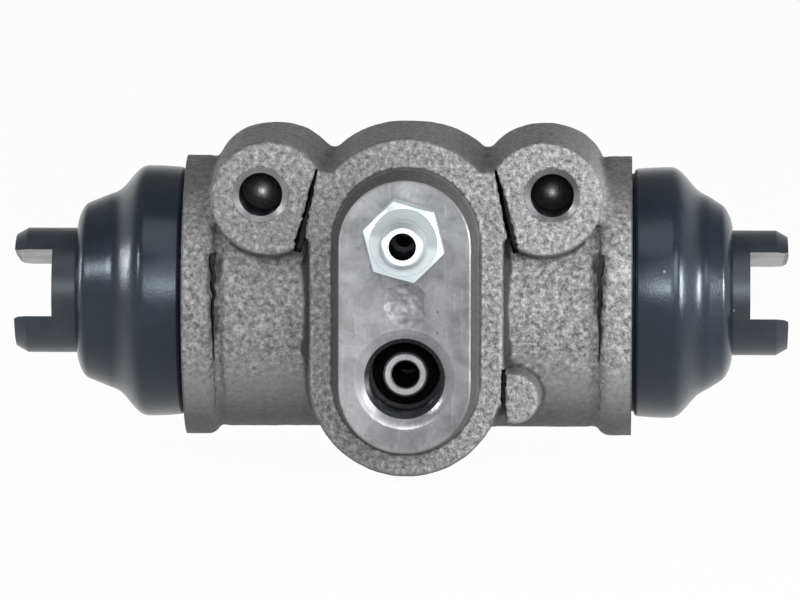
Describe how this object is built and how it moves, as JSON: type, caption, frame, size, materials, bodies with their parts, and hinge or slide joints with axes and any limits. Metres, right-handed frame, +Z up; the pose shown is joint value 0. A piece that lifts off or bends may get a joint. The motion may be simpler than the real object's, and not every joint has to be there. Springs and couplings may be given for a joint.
{
  "type": "wheel cylinder",
  "caption": "Drum brake wheel cylinder: cast body with opposed slotted pistons in rubber boots, bolt bosses, and a pad with an inlet port and a hexagon bleeder screw.",
  "frame": {"origin": "midway between the two bolt holes, on the plane that meets the backing plate", "axes": "+X along the bore to the right as seen from the backing plate, -Y out towards the backing plate, +Z up to the bleeder"},
  "size_m": [0.1202, 0.0683, 0.0538],
  "materials": {
    "cast_iron": "rough as cast, machined on the pad",
    "blackened_metal": "dark anodised, bright in the slot",
    "rubber": "satin black",
    "zinc_plated_steel": "bright zinc plate",
    "spring_steel": "drawn wire"
  },
  "bodies": {
    "housing": {"cylinder_body": "cast_iron", "dust_boot_left": "rubber", "dust_boot_right": "rubber", "return_spring": "spring_steel"},
    "left_piston": {"piston_left": "blackened_metal", "cup_seal_left": "rubber", "cup_expander_left": "zinc_plated_steel"},
    "right_piston": {"piston_right": "blackened_metal", "cup_seal_right": "rubber", "cup_expander_right": "zinc_plated_steel"},
    "bleeder": {"bleeder_screw": "zinc_plated_steel"}
  },
  "joints": [
    {"name": "left_slide", "type": "slide", "parent": "housing", "child": "left_piston", "axis": [-1, 0, 0], "range_m": [-0.004, 0.006], "deforming": ["dust_boot_left", "return_spring"]},
    {"name": "right_slide", "type": "slide", "parent": "housing", "child": "right_piston", "axis": [1, 0, 0], "range_m": [-0.004, 0.006], "deforming": ["dust_boot_right"]},
    {"name": "bleeder_turn", "type": "hinge", "parent": "housing", "child": "bleeder", "pos_m": [0, -0.009, -0.0056], "axis": [0, -1, 0], "range_deg": [0, 270]}
  ]
}
